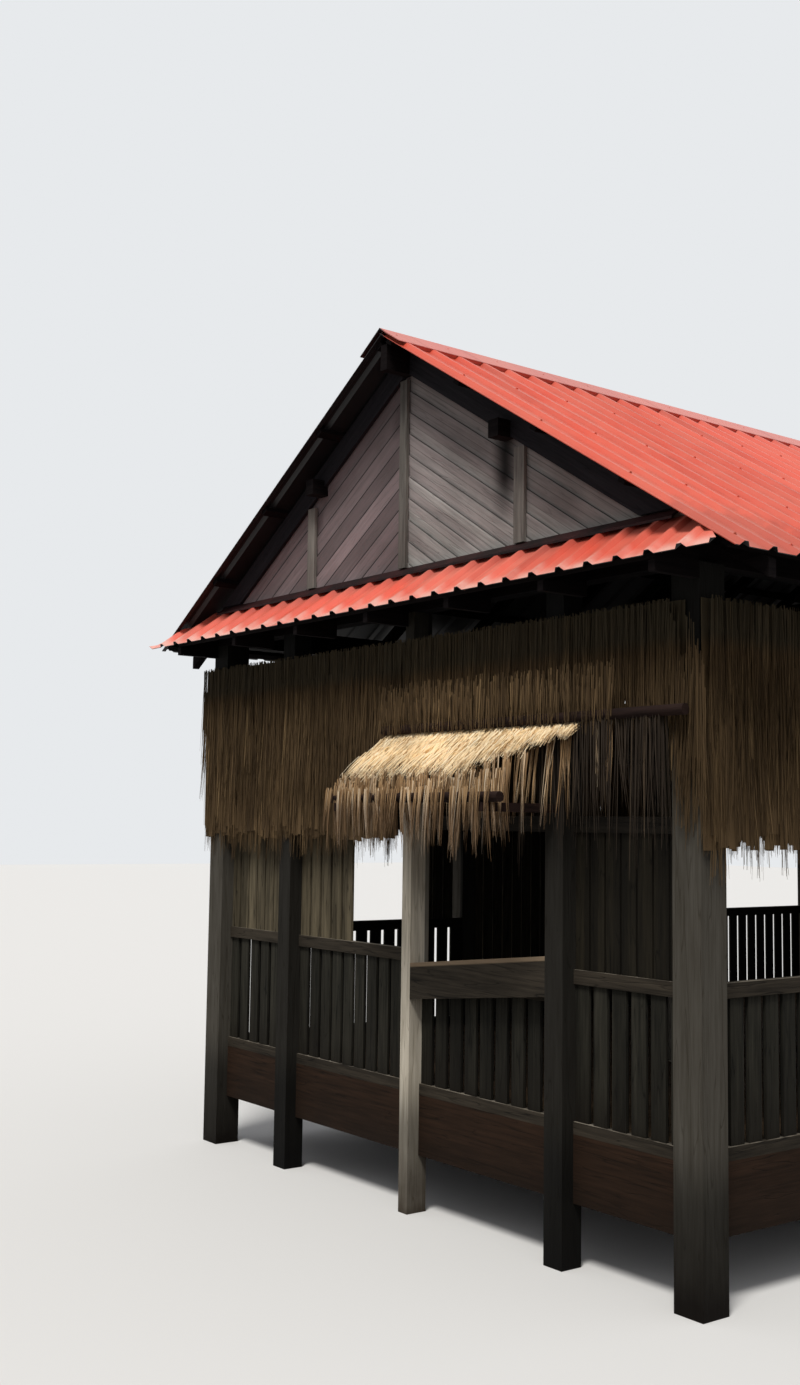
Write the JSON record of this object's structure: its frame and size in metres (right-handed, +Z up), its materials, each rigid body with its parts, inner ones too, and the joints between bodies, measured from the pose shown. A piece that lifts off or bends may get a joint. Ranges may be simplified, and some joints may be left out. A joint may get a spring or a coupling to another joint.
{
  "type": "stilt house",
  "caption": "One-room timber house on posts with a ribbed red metal gable roof, pent roofs under boarded gables, hanging grass walls and a grass awning over a railed window.",
  "frame": {"origin": "middle of the whole house's plan, on the ground under its posts", "axes": "+Z up, the ridge runs along Y, the front gable with the awning faces -Y, +X to the right seen from the front"},
  "size_m": [5.2, 7.433, 4.9883],
  "materials": {
    "posts": "weathered grey timber",
    "floor_timber": "rough brown timber",
    "floor_boards": "worn boards",
    "roof_timber": "rough dark timber",
    "red_sheet": "coral red coated roofing sheet, dusty",
    "dark_boards": "dark stained timber",
    "gable_boards": "silver grey weathered boards",
    "wall_grass": "hanging dry grass, olive brown",
    "awning_grass": "hanging dry grass, bleached straw",
    "poles": "peeled poles",
    "wall_boards": "weathered grey brown boards"
  },
  "bodies": {
    "root": {"front_posts": "posts", "middle_posts": "posts", "rear_posts": "posts", "floor_beams": "floor_timber", "floor_joists": "floor_timber", "floor_boards": "floor_boards", "skirt_boards": "floor_timber", "side_plates": "roof_timber", "end_plates": "roof_timber", "tie_beams": "roof_timber", "king_posts": "roof_timber", "ridge_beam": "roof_timber", "purlins": "roof_timber", "rafters": "roof_timber", "roof_battens": "roof_timber", "main_roof_right": "red_sheet", "main_roof_left": "red_sheet", "ridge_cap": "red_sheet", "gable_trims": "dark_boards", "front_pent_roof": "red_sheet", "rear_pent_roof": "red_sheet", "pent_brackets": "roof_timber", "cover_strips": "dark_boards", "front_gable_boards": "gable_boards", "rear_gable_boards": "gable_boards", "gable_battens": "gable_boards", "front_rails": "wall_boards", "front_slats": "wall_boards", "front_planks": "wall_boards", "right_rails": "wall_boards", "right_slats": "wall_boards", "right_planks": "wall_boards", "left_rails": "wall_boards", "left_slats": "wall_boards", "left_planks": "wall_boards", "rear_rails": "wall_boards", "rear_planks": "wall_boards", "grass_poles": "poles", "front_grass_left": "wall_grass", "front_grass_right": "wall_grass", "right_grass": "wall_grass", "left_grass": "wall_grass", "rear_grass": "wall_grass", "awning_frame": "poles", "awning_grass": "awning_grass", "awning_fringe": "awning_grass"}
  },
  "joints": []
}
